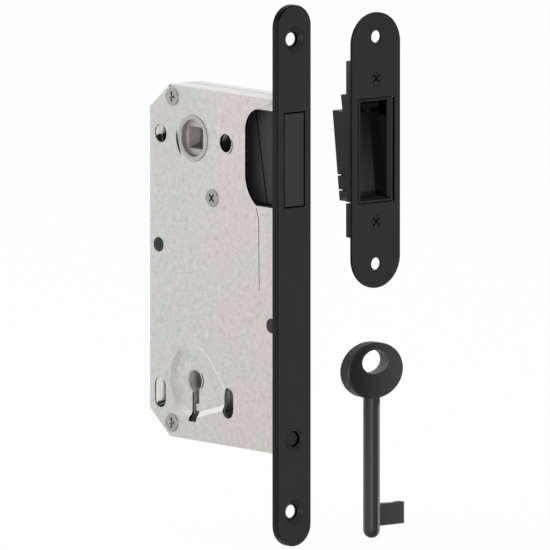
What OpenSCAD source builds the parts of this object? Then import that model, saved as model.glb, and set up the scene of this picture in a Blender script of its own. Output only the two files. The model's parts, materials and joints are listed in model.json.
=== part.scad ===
// Magnetic mortise lock: a lock body, its strike plate and its key, standing as a set.
// X points out of the forend's front face, Y runs across the door's edge and Z is up.
// The origin is the centre of the forend's front face.

/* [Forend] */
// Width of the forend
forend_w = 16; // [16:0.5:22]
// Height of the forend
forend_h = 200; // [196:1:240]
// Thickness of the forend
forend_t = 3; // [2.5:0.5:4]
// Distance between the two fixing holes of the forend
forend_screw_gap = 174.5; // [170:0.5:180]
// Bore of the fixing holes
forend_hole_d = 4.9; // [4.5:0.1:5.6]
// Diameter of the countersinks at the face
countersink_d = 9; // [8.4:0.1:10]
// Bevel round the front edge of the forend
forend_bevel = 0.4; // [0.2:0.1:0.8]
// Distance of the case fixing screw below the forend's centre
keeper_drop = 60.3; // [59.9:0.1:60.9]

/* [Case] */
// Depth of the lock from the forend's face to the back of the case
case_depth = 75.5; // [75:0.1:85]
// Height of the case
case_h = 130.8; // [129.4:0.2:136]
// Thickness of the case, over both sides
case_t = 14.8; // [14.6:0.1:15.6]
// Wall of both case pans
case_wall = 1.2; // [1:0.05:1.3]
// Length of the rear corner chamfer along the case's depth
chamfer_x = 11.9; // [10:0.1:13]
// Length of the rear corner chamfer along the case's height
chamfer_z = 9.3; // [8:0.1:10]
// Depth of the near pan, up to the seam
tray_depth = 9.2; // [8.6:0.1:10]
// Groove at the seam between the pans
seam_groove = 0.3; // [0.2:0.05:0.4]
// Length of the lugs on the pans that enter the forend
lug_len = 8; // [5:0.5:10]

/* [Case fasteners] */
// Diameter of a case screw's head
screw_head_d = 6.2; // [5.8:0.1:6.4]
// Shank of a case screw
screw_shank_d = 2.9; // [2.5:0.1:3.1]
// Outer diameter of a screw pillar
pillar_d = 5.6; // [5:0.1:5.8]
// Diameter of a locating stud
stud_d = 5.3; // [4.8:0.1:5.6]

/* [Spindle] */
// Distance from the forend's face to the spindle's centre
backset = 50; // [49.8:0.1:50.4]
// Height of the spindle above the forend's centre
spindle_z = 46.6; // [46.4:0.1:46.8]
// Square of the spindle
spindle_sq = 8; // [7:0.5:8]
// Diameter of the follower's collars
follower_d = 17; // [16.6:0.1:18]
// Diameter of the recess in the follower's collars
follower_face_d = 13.7; // [13:0.1:14.2]
// Depth of the recess in the follower's collars
follower_recess = 1.5; // [1:0.1:1.7]
// Length of the follower's arm, from the spindle's centre to its pin
arm_len = 15.5; // [15.4:0.05:15.6]
// Turn of the handle, in degrees
handle_turn = 40; // [30:1:40]
// Distance between the two rosette fixing holes
rosette_gap = 38; // [37.5:0.1:38.5]
// Diameter of the rosette fixing holes
rosette_d = 6.8; // [6:0.1:7.2]

/* [Latch] */
// Height of the latch's face
latch_h = 34.2; // [34:0.1:35]
// Thickness of the latch across the door's edge
latch_w = 8.8; // [8.6:0.1:9.4]
// Height of the latch's middle above the forend's centre
latch_z = 42.95; // [42.6:0.05:43.3]
// Travel of the latch out of the forend
latch_throw = 10.5; // [9:0.25:10.5]
// Gap between the latch and the edge of its window
latch_gap = 0.6; // [0.35:0.01:0.7]
// Depth of the whole latch behind its face
latch_depth = 26; // [25:0.25:26]
// Thickness of the magnet in the latch
latch_magnet_t = 5; // [3:0.5:5]

/* [Key works] */
// Distance from the spindle's centre down to the key's centre
key_drop = 90; // [89.5:0.1:90.5]
// Diameter of the round part of the keyhole
keyhole_d = 7.6; // [7:0.1:7.8]
// Width of the keyhole's slot
keyhole_w = 4; // [3.6:0.1:4.4]
// Reach of the keyhole's slot below the key's centre
keyhole_reach = 15.2; // [15.2:0.1:15.6]
// Travel of the slide that the key pushes
slide_throw = 8; // [7:0.25:8]
// Rise of the bar that locks the latch
bar_rise = 4; // [3:0.25:4]
// Diameter of the studs on which the slides run
slide_stud_d = 3; // [2.6:0.1:3.2]
// Gap between the two oblong slots for the key escutcheon
escutcheon_gap = 39.5; // [39:0.1:40]
// Width of the oblong slots
escutcheon_w = 6.4; // [6:0.1:6.8]
// Height of the oblong slots
escutcheon_h = 11.3; // [10:0.1:12]

/* [Strike] */
// Width of the strike plate
strike_w = 23; // [20:0.5:24]
// Height of the strike plate
strike_h = 102; // [99:0.5:110]
// Thickness of the strike plate
strike_t = 1; // [1:0.1:1.5]
// Distance between the two fixing holes of the strike plate
strike_screw_gap = 84; // [83:0.5:86]
// Bore of the strike plate's fixing holes
strike_hole_d = 4.6; // [4.2:0.1:5.4]
// Distance between the small screws that hold the tray
tray_screw_gap = 53; // [52:0.1:53.4]
// Width of the window in the strike plate
strike_win_w = 17.4; // [16.6:0.1:17.8]
// Height of the window in the strike plate
strike_win_h = 39.1; // [38.9:0.1:39.3]
// Deepest reach of the tray behind the plate's face
tray_reach = 15.4; // [14.7:0.1:16]
// Wall of the tray beside its pocket
tray_wall = 1.2; // [1.1:0.1:1.6]
// Place of the strike plate's middle across the set
strike_y = 38.6; // [38:0.2:44]

/* [Key] */
// Diameter of the key's shank
shank_d = 6.2; // [5.4:0.1:6.4]
// Length of the key from the top of its bow to its tip
key_len = 72.7; // [70:0.1:76]
// Width of the key's bow
bow_w = 26.4; // [24:0.2:28]
// Height of the key's bow
bow_h = 20.8; // [20.5:0.1:23]
// Thickness of the key's bow
bow_t = 5.3; // [5:0.1:5.6]
// Reach of the key's bit from the shank's axis
bit_reach = 14.4; // [14:0.1:15]
// Length of the bit along the shank
bit_len = 8.1; // [7:0.1:8.6]
// Thickness of the bit
bit_t = 2.9; // [2.4:0.1:3.2]

/* [Hidden] */
$fn = 64;

// Clearances: a running fit on a radius, between sliding plates, and of a fixed fit
run = 0.1;
play = 0.3;
fit = 0.05;
cut = 1;

// The case, seen in its own X and Z
back_x = -case_depth;
front_x = -forend_t;
side_y = case_t / 2;
inner_y = side_y - case_wall;
top_z = case_h / 2;
seam_y = tray_depth - side_y;
chamfer_len = sqrt(chamfer_x * chamfer_x + chamfer_z * chamfer_z);

// Centres of the spindle and of the key
spin = [-backset, spindle_z];
keyc = [-backset, spindle_z - key_drop];
rosette_c = [for (s = [-1, 1]) [spin[0] + s * rosette_gap / 2, spin[1]]];
escutcheon_c = [for (s = [-1, 1]) [keyc[0] + 0.5 + s * escutcheon_gap / 2, keyc[1] - 6.2]];

// Tab bent in from the far pan beside the rear oblong slot
slot_tab_x = escutcheon_c[0][0] + escutcheon_w / 2 + 0.3;
slot_tab_y = 1.2;

// The dish round the keyhole and the fine ring pressed round the hole in it
dish_r = 13.6;
dish_depth = 1;
dish_back = 2.2;
dish_grow = 0.5;
key_ring = [keyhole_d + 0.8, keyhole_d + 1.2];
keyway_shift = 0.4;
ward_w = 1.7;
ward_z = [keyc[1] - 8.4, keyc[1] - 11];
foot_h = 2.6;
key_ring_depth = 0.3;

// Fine crease in the near pan below the latch window, and the small hole in its rear corner
crease = [[front_x - 10.1, 24.5], [front_x - 8.7, 20], [front_x - 8.4, -6]];
crease_w = 0.35;
crease_depth = 0.5;
corner_hole_d = 1.4;

// Screws and studs through the case, as X and Z
screw_c = [[back_x + 13.2, top_z - 4.6], [-backset + 11.1, 25.5], [back_x + 13, 5.2 - top_z]];
front_stud_x = front_x - 1.4;
stud_c = [[back_x + 5.2, 5.2], [front_stud_x, -18.2]];
lug_c = [8, -42];
lug_depth = 1.4;
head_t = 1.2;
head_proud = 0.35;
head_room = 0.25;
head_bevel = 0.4;
stud_proud = 0.25;
stud_skin = 0.4;
keeper_len = 11;

// Layers across the case: arm, retractor and lever, tail and slide, lock bar
layer_t = 1.8;
arm_y = [-inner_y + 0.4, -inner_y + 0.4 + layer_t];
pull_y = [arm_y[1] + play, arm_y[1] + play + layer_t];
tail_y = [pull_y[1] + play, pull_y[1] + play + 3];
bar_y = [tail_y[1] + play, tail_y[1] + play + 2];

// Latch
latch_lo = latch_z - latch_h / 2;
latch_hi = latch_z + latch_h / 2;
latch_back = -latch_depth;
seam_slope = 0.197;
seam_x = -13.65;
seam_gap = 0.2;
front_wall = 1.2;
magnet_w = 6;
magnet_h = 22;
magnet_x = -front_wall - latch_magnet_t;
spring_slot_h = 4.2;
spring_slot_z = latch_hi - 2.75;
spring_slot_x = [latch_back + 1.5, -5.2];
spring_peg_x = [spring_slot_x[1] - 2.3, spring_slot_x[1] - play];

// Tail bar of the latch and its slots
tail_lo = latch_lo + 3.85;
tail_hi = spin[1] - follower_face_d / 2 - 1.15;
tail_back = -backset - 12;
tail_front = latch_back + 8.5;
rivet_x = latch_back + 3.5;
rivet_z = [tail_lo + 2.3, tail_hi - 2.3];
rivet_d = 2.5;
pull_travel = arm_len * sin(handle_turn);
nose_x = -36;
nose_w = 3;
nose_h = 1.8;
nose_z = tail_hi - 2.7;
tongue_x = -backset + 3;
tongue_w = 4;
notch_side = 0.4;
notch_top = tail_lo + bar_rise - 0.2;

// Follower arm and retractor
hub_d = follower_face_d + 0.7;
arm_w = 5.2;
pin_d = 3;
pin_z = spin[1] - arm_len;
pin_top = spin[1] - arm_len * cos(handle_turn);
pull_back = -backset - 4.5;
pull_front = latch_back - 0.8;
pull_lo = screw_c[1][1] + pillar_d / 2 + 0.6;
pull_hi = tail_hi - 0.4;
leg_back = -backset - 9.5;
leg_front = screw_c[1][0] - pillar_d / 2 - 0.8;
leg_lo = pull_lo - 6.3;
pull_stud = [[-40, pull_lo + 2.6], [-56, leg_lo + 2.9]];
spring_lug_t = 1.5;
spring_lug_h = 4.6;

// Coil springs of the latch and the retractor: outer diameter, wire and turns
latch_coil = [3.2, 0.4];
pull_coil = [3.4, 0.5];
coil_turns = 8;

// Key slide, lock bar and lever
talon_z = keyc[1] + bit_reach - 3.4;
slide_lo = keyc[1] + bit_reach + 0.2;
slide_stud_z = slide_lo + 6.2;
slide_band = slide_stud_z + 6;
slide_front = 16;
slide_x = [back_x + 3.5, -backset + slide_front];
notch_x = -backset - slide_throw / 2;
talon_gap = 9;
talon_w = 3.5;
slide_stud = [[slide_x[0] + 11.5, slide_stud_z], [slide_x[1] - 4, slide_stud_z]];
cam_x = -backset + 3;
cam_land = 4;
cam_z = slide_band + cam_land;
bar_x = [-backset - 1, -backset + 7];
bar_c = (bar_x[0] + bar_x[1]) / 2;
bar_lo = cam_z - cam_land;
bar_top = tail_lo - 0.6;
bar_stud_z = [2, 14];
lever_c = [back_x + 8, slide_lo + 4.2];
lever_w = 8;
lever_end = -backset + 10;
belly_r = 7.2;
leaf_t = 0.5;

// Strike
strike_z = 43.4;
tray_x = -strike_t;
ear_h = 12.7;
ear_back = -6.9;
tray_gap = 0.5;
collar_t = tray_wall - tray_gap;
collar_depth = 2.3;
tray_top = strike_z + strike_win_h / 2 + 0.8;
tray_low = strike_z - strike_win_h / 2 - 0.1;
step_z = tray_top - 6.4;
step_back = -10;
deep_low_x = tray_reach - 4.1;
deep_step = 0.5;
body_gap = 0.6;
body_gap_x = -4;
tray_slits = [33.7, 28.2];
slit_skin = 0.5;
slit_side = [0.5, 4.8];
slit_h = 0.5;
back_wall = 2;
strike_magnet_t = 1.2;
tray_head_d = 4.8;
tray_cross = 4.1;
tray_screw_c = [for (s = [-1, 1]) strike_z + s * tray_screw_gap / 2];
ear_r = 0.6;

// Key
key_axis = [-2.7, strike_y + 0.1];
key_top = -27.9;
key_tip = key_top - key_len;
bow_z = key_top - bow_h / 2;
bow_hole = [12.5, 8.9];
bow_hole_z = bow_z + 3.3;
bow_bevel = 0.5;
bow_hole_y = key_axis[1] - 0.2;
bit_z = key_tip + 4.3;
bit_top = bit_z + bit_len;

// Groove along the bit, on the side that passes the ward
ward_gap = 0.15;
bit_groove = [keyc[1] - ward_z[0] - 2 * ward_gap, keyc[1] - ward_z[1] + 2 * ward_gap];
bit_groove_t = bit_t / 2 + ward_w - keyhole_w / 2 - keyway_shift + ward_gap;

// A cylinder along Y at an X and Z, from y0 to y1
module rod_y(c, d, y0, y1) {
    translate([c[0], y1, c[1]]) rotate([90, 0, 0]) cylinder(d = d, h = y1 - y0);
}

// A cylinder along X at a Y and Z, from x0 to x1
module rod_x(c, d, x0, x1) {
    translate([x0, c[0], c[1]]) rotate([0, 90, 0]) cylinder(d = d, h = x1 - x0);
}

// A cone along X at a Y and Z, from diameter d0 at x0 to d1 at x1
module cone_x(c, d0, d1, x0, x1) {
    translate([x0, c[0], c[1]]) rotate([0, 90, 0]) cylinder(d1 = d0, d2 = d1, h = x1 - x0);
}

// A plate that stands in X and Z, from y0 to y1
module plate_y(y0, y1) {
    translate([0, y1, 0]) rotate([90, 0, 0]) linear_extrude(y1 - y0) children();
}

// A plate that stands in Y and Z, from x0 to x1
module plate_x(x0, x1) {
    translate([x0, 0, 0]) rotate([90, 0, 90]) linear_extrude(x1 - x0) children();
}

// A box between two corners
module block(a, b) {
    translate(a) cube(b - a);
}

// A flat slot with round ends, from centre to centre
module slot2d(p, q, d) {
    len = norm(q - p);
    translate(p) circle(d = d);
    translate(q) circle(d = d);
    translate(p) rotate(atan2(q[1] - p[1], q[0] - p[0])) translate([0, -d / 2]) square([len, d]);
}

// A flat rectangle between two corners, with round corners
module round2d(a, b, r) {
    translate([a[0] + r, a[1]]) square([b[0] - a[0] - 2 * r, b[1] - a[1]]);
    translate([a[0], a[1] + r]) square([b[0] - a[0], b[1] - a[1] - 2 * r]);
    for (x = [a[0] + r, b[0] - r], z = [a[1] + r, b[1] - r]) translate([x, z]) circle(r = r);
}

// An upright plate with full-radius ends and a bevelled front edge
module round_end_plate(y, z, w, h, back, front, bevel) {
    reach = (h - w) / 2;
    ends = [[y, z - reach], [y, z + reach]];
    edge = front - bevel;
    plate_x(back, edge) slot2d(ends[0], ends[1], w);
    for (e = ends) cone_x(e, w, w - 2 * bevel, edge, front);
    translate([0, y, z - reach]) linear_extrude(2 * reach)
        polygon([[edge, -w / 2], [edge, w / 2], [front, w / 2 - bevel], [front, bevel - w / 2]]);
}

// A countersunk hole through a plate whose face is at front
module countersunk(c, bore, head, back, front) {
    depth = (head - bore) / 2;
    rod_x(c, bore, back - cut, front + cut);
    cone_x(c, bore, head, front - depth, front);
    rod_x(c, head, front, front + cut);
}

// Phillips cross as a cutter along Y: centre, size over the wings, turn, face and depth
module cross_y(c, size, turn, y0, y1) {
    wing = size * 0.23;
    translate([c[0], 0, c[1]]) rotate([0, turn, 0]) for (a = [0, 90]) rotate([0, a, 0])
        block([-size / 2, y0, -wing / 2], [size / 2, y1, wing / 2]);
}

// Compression spring along X as one swept wire: centre, coil diameter, wire, ends and turns
module coil_x(c, d, wire, x0, x1, turns) {
    rings = 12 * turns;
    sides = 6;
    r = (d - wire) / 2;
    points = [for (i = [0 : rings], j = [0 : sides - 1])
        let (t = 360 * turns * i / rings, a = 360 * j / sides, rr = r + wire / 2 * cos(a))
        [x0 + wire / 2 + (x1 - x0 - wire) * i / rings + wire / 2 * sin(a),
         c[0] + rr * cos(t), c[1] + rr * sin(t)]];
    walls = [for (i = [0 : rings - 1], j = [0 : sides - 1])
        let (p = i * sides + j, q = i * sides + (j + 1) % sides)
        for (f = [[p, q, q + sides], [p, q + sides, p + sides]]) f];
    first = [[for (j = [sides - 1 : -1 : 0]) j]];
    last = [[for (j = [0 : sides - 1]) rings * sides + j]];
    polyhedron(points, concat(walls, first, last));
}

// Outline of the case in X and Z, moved inwards by w and open to the front when w is not 0
module case2d(w) {
    a = [back_x + chamfer_x, top_z];
    b = [back_x, top_z - chamfer_z];
    ax = a[0] + w * (chamfer_len - chamfer_x) / chamfer_z;
    bz = b[1] + w * (chamfer_z - chamfer_len) / chamfer_x;
    f = w == 0 ? front_x : front_x + cut;
    upper = [[f, a[1] - w], [ax, a[1] - w], [b[0] + w, bz]];
    lower = [for (i = [2 : -1 : 0]) [upper[i][0], -upper[i][1]]];
    polygon(concat(upper, lower));
}

// The dish stamped round the keyhole: a cone round the key and one round the front oblong slot
module key_dish(y_out, y_in, grow) {
    hull() for (k = [[keyc, dish_r], [escutcheon_c[1] + [-2, 1], 3.6]])
        translate([k[0][0], y_out, k[0][1]]) rotate([y_in > y_out ? -90 : 90, 0, 0])
            cylinder(r1 = k[1] + grow, r2 = k[1] + grow - 2, h = abs(y_in - y_out), $fn = 48);
}

// Outline of the keyhole's slot: a ward stands in from one edge and its foot leans to the other side.
// The side is 1 in the near pan and -1 in the far one, where the key enters the other way round.
module keyway2d(side) {
    half = keyhole_w / 2;
    foot = keyc[1] - keyhole_reach;
    outline = [
        [-half, keyc[1]], [half, keyc[1]], [half, ward_z[0]], [half - ward_w, ward_z[0]],
        [half - ward_w, ward_z[1]], [half, ward_z[1]], [half, foot + foot_h], [half - 1, foot],
        [-half - 0.9, foot], [-half - 1.2, foot + 0.6], [-half, foot + foot_h]
    ];
    polygon([for (p = outline) [keyc[0] + side * (p[0] + keyway_shift), p[1]]]);
}

// Holes that go through both pans, as a cutter from y0 to y1 on the side of the keyway
module through_holes(y0, y1, side) {
    rod_y(spin, follower_d + 2 * run, y0, y1);
    for (c = rosette_c) rod_y(c, rosette_d, y0, y1);
    rod_y(keyc, keyhole_d, y0, y1);
    plate_y(y0, y1) keyway2d(side);
    reach = (escutcheon_h - escutcheon_w) / 2;
    for (c = escutcheon_c) plate_y(y0, y1) slot2d(c - [0, reach], c + [0, reach], escutcheon_w);
    for (c = stud_c) rod_y(c, stud_d + 2 * fit, y0, y1);
    stud_half = stud_d / 2 + fit;
    block([front_stud_x, y0, stud_c[1][1] - stud_half], [front_x + cut, y1, stud_c[1][1] + stud_half]);
}

// Window in the case's sides beside the latch, as a cutter. Its upper rear corner is round, and an arc
// of a larger radius runs into its bottom edge.
module latch_window(y0, y1) {
    z0 = latch_lo - 0.55;
    z1 = latch_hi + 1.05;
    x0 = front_x - 16.7;
    top_r = 8.5;
    low_r = 13;
    rise = 11.3;
    plate_y(y0, y1) {
        translate([x0 + top_r, z0 + rise]) square([front_x + cut - x0 - top_r, z1 - z0 - rise]);
        translate([x0, z0 + rise]) square([top_r + 1, z1 - z0 - rise - top_r]);
        translate([x0 + top_r, z1 - top_r]) circle(r = top_r);
        intersection() {
            translate([x0 + low_r, z0 + rise]) circle(r = low_r);
            translate([x0, z0]) square([low_r, rise + 1]);
        }
        translate([x0 + low_r, z0]) square([front_x + cut - x0 - low_r, rise + 1]);
    }
}

module forend() {
    color("#333333") difference() {
        round_end_plate(0, 0, forend_w, forend_h, -forend_t, 0, forend_bevel);
        for (s = [-1, 1])
            countersunk([0, s * forend_screw_gap / 2], forend_hole_d, countersink_d, -forend_t, 0);
        countersunk([0, -keeper_drop], forend_hole_d, countersink_d - 0.2, -forend_t, 0);
        block([-forend_t - cut, -latch_w / 2 - latch_gap, latch_lo - latch_gap],
              [cut, latch_w / 2 + latch_gap, latch_hi + latch_gap]);
        for (z = lug_c, s = [-1, 1])
            block([front_x - cut, s * (side_y - case_wall / 2) - case_wall / 2 - fit, z - lug_len / 2 - fit],
                  [front_x + lug_depth + fit, s * (side_y - case_wall / 2) + case_wall / 2 + fit,
                   z + lug_len / 2 + fit]);
    }
}

// Lugs at the front edge of a pan, on the side s
module front_lugs(s) {
    for (z = lug_c)
        block([front_x - 0.5, s * (side_y - case_wall / 2) - case_wall / 2, z - lug_len / 2],
              [front_x + lug_depth, s * (side_y - case_wall / 2) + case_wall / 2, z + lug_len / 2]);
}

module case_tray() {
    color("#c8c6c4") difference() {
        union() {
            difference() {
                plate_y(-side_y, seam_y) case2d(0);
                plate_y(-inner_y, seam_y + cut) case2d(case_wall);
            }
            key_dish(-side_y + 0.3, -side_y + dish_back, dish_grow);
            front_lugs(-1);
        }
        plate_y(seam_y - seam_groove, seam_y + cut) difference() {
            translate([back_x - cut, -top_z - cut]) square([case_depth + 2 * cut, case_h + 2 * cut]);
            case2d(seam_groove);
            translate([front_x - 0.1, -top_z]) square([2 * cut, case_h]);
        }
        key_dish(-side_y - 0.01, -side_y + dish_depth, 0);
        through_holes(-side_y - cut, -side_y + 3, 1);
        plate_y(-side_y, -side_y + dish_depth + key_ring_depth) translate(keyc) difference() {
            circle(d = key_ring[1]);
            circle(d = key_ring[0]);
        }
        latch_window(-side_y - cut, -inner_y + 0.2);
        for (c = screw_c) {
            rod_y(c, screw_shank_d + 2 * run, -side_y - cut, -inner_y + cut);
            rod_y(c, screw_head_d + 2 * head_room, -side_y - cut, -side_y + head_t - head_proud);
        }
        for (c = pull_stud) rod_y(c, slide_stud_d, -side_y + stud_skin, -inner_y + cut);
        rod_y(lever_c, slide_stud_d, -side_y + stud_skin, -inner_y + cut);
        plate_y(-side_y - cut, -side_y + crease_depth) polygon(concat(
            [for (p = crease) p + [crease_w / 2, 0]],
            [for (i = [len(crease) - 1 : -1 : 0]) crease[i] - [crease_w / 2, 0]]
        ));
        rod_y([back_x + chamfer_x, top_z], corner_hole_d, -side_y - cut, -inner_y + 1);
    }
}

module case_cover() {
    color("#c8c6c4") difference() {
        union() {
            difference() {
                plate_y(seam_y, side_y) case2d(0);
                plate_y(seam_y - cut, inner_y) case2d(case_wall);
            }
            key_dish(side_y - 0.3, side_y - dish_back, dish_grow);
            front_lugs(1);
            block([slot_tab_x, slot_tab_y, escutcheon_c[0][1] - escutcheon_h / 2 - 1],
                  [slot_tab_x + 1, inner_y + 0.2, escutcheon_c[0][1] + escutcheon_h / 2 + 1]);
        }
        key_dish(side_y + 0.01, side_y - dish_depth, 0);
        through_holes(side_y - 3, side_y + cut, -1);
        latch_window(inner_y - 0.2, side_y + cut);
        for (c = screw_c) rod_y(c, screw_shank_d, inner_y - cut, side_y + cut);
        for (c = slide_stud) rod_y(c, slide_stud_d, inner_y - cut, side_y - stud_skin);
        for (z = bar_stud_z) rod_y([bar_c, z], slide_stud_d, inner_y - cut, side_y - stud_skin);
    }
}

module screw_pillars() {
    color("silver") for (c = screw_c) difference() {
        rod_y(c, pillar_d, -inner_y, inner_y);
        rod_y(c, screw_shank_d + 2 * run, -side_y, side_y);
    }
}

module case_screws() {
    turns = [0, 45, 0];
    face = -side_y - head_proud;
    color("#b8b5b0") for (i = [0 : 2]) difference() {
        union() {
            translate([screw_c[i][0], -side_y + head_t - head_proud, screw_c[i][1]]) rotate([90, 0, 0]) {
                cylinder(d = screw_head_d, h = head_t - head_bevel);
                translate([0, 0, head_t - head_bevel])
                    cylinder(d1 = screw_head_d, d2 = screw_head_d - 1.4, h = head_bevel);
            }
            rod_y(screw_c[i], screw_shank_d, -side_y, side_y - 0.1);
        }
        cross_y(screw_c[i], screw_head_d * 0.64, turns[i], face - cut, face + 1);
    }
}

module locating_studs() {
    color("#3c3c3c") {
        rod_y(stud_c[0], stud_d, -side_y - stud_proud, side_y);
        intersection() {
            rod_y(stud_c[1], stud_d, -side_y - stud_proud, side_y);
            block([back_x, -case_t, -top_z], [front_x, case_t, top_z]);
        }
    }
}

module forend_block() {
    color("#8d8f92") difference() {
        block([front_x - keeper_len, -inner_y, case_wall - top_z], [front_x, inner_y, 4.5 - keeper_drop]);
        rod_x([0, -keeper_drop], forend_hole_d - 0.2, front_x - keeper_len - cut, front_x + cut);
    }
}

module forend_screw() {
    head = countersink_d - 0.3;
    shank = forend_hole_d - 0.3;
    sink = 0.55;
    color("#262626") difference() {
        union() {
            cone_x([0, -keeper_drop], shank, head - 2 * sink, -sink - (head - shank) / 2 + sink, -sink);
            rod_x([0, -keeper_drop], shank, front_x - keeper_len + 2, -sink - 0.5);
        }
        translate([-sink - 1.6, 0, -keeper_drop]) rotate([90, 0, 90])
            linear_extrude(3) circle(d = 3.4, $fn = 6);
    }
}

module latch_guide() {
    wall_y = latch_w / 2 + play;
    back = latch_back + 1;
    top = [latch_hi + play, top_z - case_wall - fit];
    low = [latch_lo - 3.6, latch_lo - play];
    color("#1f1f1f") {
        block([back, -inner_y, top[0]], [front_x, inner_y, top[1]]);
        block([back, -inner_y, low[0]], [front_x, inner_y, low[1]]);
        block([back, wall_y, low[0]], [front_x, inner_y, top[1]]);
        block([spring_peg_x[0], wall_y - latch_w / 2 + 1.6, spring_slot_z - spring_slot_h / 2 + play],
              [spring_peg_x[1], inner_y, spring_slot_z + spring_slot_h / 2 - play]);
    }
}

module retractor_studs() {
    color("silver") for (c = pull_stud) {
        rod_y(c, slide_stud_d, -side_y + stud_skin, pull_y[1]);
        rod_y(c, slide_stud_d + 2, -inner_y, pull_y[0] - fit);
    }
}

module slide_studs() {
    color("silver") for (c = slide_stud) {
        rod_y(c, slide_stud_d, tail_y[0], side_y - stud_skin);
        rod_y(c, slide_stud_d + 2, tail_y[1] + fit, inner_y);
    }
}

module bar_studs() {
    color("silver") for (z = bar_stud_z) {
        c = [bar_c, z];
        rod_y(c, slide_stud_d, bar_y[0] - 0.8, side_y - stud_skin);
        rod_y(c, slide_stud_d + 2, bar_y[1] + fit, inner_y);
        rod_y(c, slide_stud_d + 2, bar_y[0] - 0.9, bar_y[0] - fit);
    }
}

module lever_pivot() {
    color("silver") {
        rod_y(lever_c, slide_stud_d, -side_y + stud_skin, pull_y[1]);
        rod_y(lever_c, slide_stud_d + 2, -inner_y, pull_y[0] - fit);
    }
}

// X of the slanting seam between latch head and carrier at a height
function seam_at(z) = seam_x - seam_slope * (z - latch_z);

// The slot for the latch's spring, open to the far side
module spring_slot() {
    block([spring_slot_x[0], 1, spring_slot_z - spring_slot_h / 2],
          [spring_slot_x[1], latch_w, spring_slot_z + spring_slot_h / 2]);
}

module latch_head() {
    color("#2b2b2b") difference() {
        plate_y(-latch_w / 2, latch_w / 2) polygon([
            [0, latch_lo], [0, latch_hi], [seam_at(latch_hi), latch_hi], [seam_at(latch_lo), latch_lo]
        ]);
        block([latch_back, -magnet_w / 2 - fit, latch_z - magnet_h / 2 - 0.5 - fit],
              [-front_wall, magnet_w / 2 + fit, latch_z + magnet_h / 2 + 0.5 + fit]);
        spring_slot();
    }
}

module latch_carrier() {
    half_tongue = magnet_h / 2 + 0.5;
    color("#303030") difference() {
        union() {
            plate_y(-latch_w / 2, latch_w / 2) polygon([
                [latch_back, latch_lo], [seam_at(latch_lo) - seam_gap, latch_lo],
                [seam_at(latch_hi) - seam_gap, latch_hi], [latch_back, latch_hi]
            ]);
            block([latch_back + 4, -magnet_w / 2, latch_z - half_tongue],
                  [magnet_x - fit, magnet_w / 2, latch_z + half_tongue]);
        }
        spring_slot();
        block([latch_back - cut, tail_y[0] - fit, tail_lo - fit],
              [tail_front + fit, tail_y[1] + fit, tail_hi + fit]);
        for (z = rivet_z) rod_y([rivet_x, z], rivet_d, -latch_w, latch_w);
    }
}

module latch_magnet() {
    color("#9a9ca0") block([magnet_x, -magnet_w / 2, latch_z - magnet_h / 2],
                           [-front_wall, magnet_w / 2, latch_z + magnet_h / 2]);
}

module latch_tail() {
    slot_lo = nose_z - nose_h / 2 - play;
    slot_hi = nose_z + nose_h / 2 + play;
    color("#a7a9ab") difference() {
        block([tail_back, tail_y[0], tail_lo], [tail_front, tail_y[1], tail_hi]);
        block([nose_x - nose_w / 2 - pull_travel - latch_throw - 0.5, tail_y[0] - cut, slot_lo],
              [nose_x + nose_w / 2 + 0.5, tail_y[1] + cut, slot_hi]);
        for (s = [0, latch_throw])
            block([tongue_x - tongue_w / 2 - notch_side - s, tail_y[0] - cut, tail_lo - cut],
                  [tongue_x + tongue_w / 2 + notch_side - s, tail_y[1] + cut, notch_top]);
        for (z = rivet_z) rod_y([rivet_x, z], rivet_d, -latch_w, latch_w);
    }
}

module latch_rivets() {
    color("silver") for (z = rivet_z) rod_y([rivet_x, z], rivet_d, -latch_w / 2, latch_w / 2);
}

module latch_spring() {
    color("#777777") coil_x([2.9, spring_slot_z], latch_coil[0], latch_coil[1],
                            spring_slot_x[0] + fit, spring_peg_x[0] - fit, coil_turns);
}

module follower() {
    face = side_y + stud_proud;
    rim = inner_y - 0.2;
    half_sq = spindle_sq / 2 + fit;
    color("#aaa59f") difference() {
        union() {
            rod_y(spin, follower_d, -face, -rim);
            rod_y(spin, follower_d, rim, face);
            rod_y(spin, hub_d, -inner_y, inner_y);
            plate_y(arm_y[0], arm_y[1]) slot2d([spin[0], spin[1] - 4], [spin[0], pin_z], arm_w);
        }
        rod_y(spin, follower_face_d, -case_t, follower_recess - face);
        rod_y(spin, follower_face_d, face - follower_recess, case_t);
        block([spin[0] - half_sq, -case_t, spin[1] - half_sq],
              [spin[0] + half_sq, case_t, spin[1] + half_sq]);
        rod_y([spin[0], pin_z], pin_d, -inner_y, 0);
    }
}

module follower_pin() {
    color("silver") rod_y([spin[0], pin_z], pin_d, arm_y[0], pull_y[1]);
}

module retractor() {
    slot_w = pin_d + 0.9;
    color("#b4b6b8") difference() {
        union() {
            block([pull_back, pull_y[0], pull_lo], [pull_front, pull_y[1], pull_hi]);
            block([leg_back, pull_y[0], leg_lo], [leg_front, pull_y[1], pull_lo + 0.5]);
            block([nose_x - nose_w / 2, pull_y[0], nose_z - nose_h / 2],
                  [nose_x + nose_w / 2, tail_y[1] - play, nose_z + nose_h / 2]);
            block([pull_back - spring_lug_t, pull_y[0] - layer_t, pin_z],
                  [pull_back, pull_y[1], pin_z + spring_lug_h]);
        }
        plate_y(pull_y[0] - cut, pull_y[1] + cut) {
            slot2d([spin[0], pin_z - play], [spin[0], pin_top + play], slot_w);
            for (c = pull_stud) slot2d(c, c + [pull_travel, 0], slide_stud_d + 2 * run);
        }
    }
}

module follower_spring() {
    spring_z = pin_z + spring_lug_h / 2;
    color("#777777") coil_x([pull_y[0] + 0.1, spring_z], pull_coil[0], pull_coil[1],
                            back_x + case_wall + fit, pull_back - spring_lug_t - fit, coil_turns);
}

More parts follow.
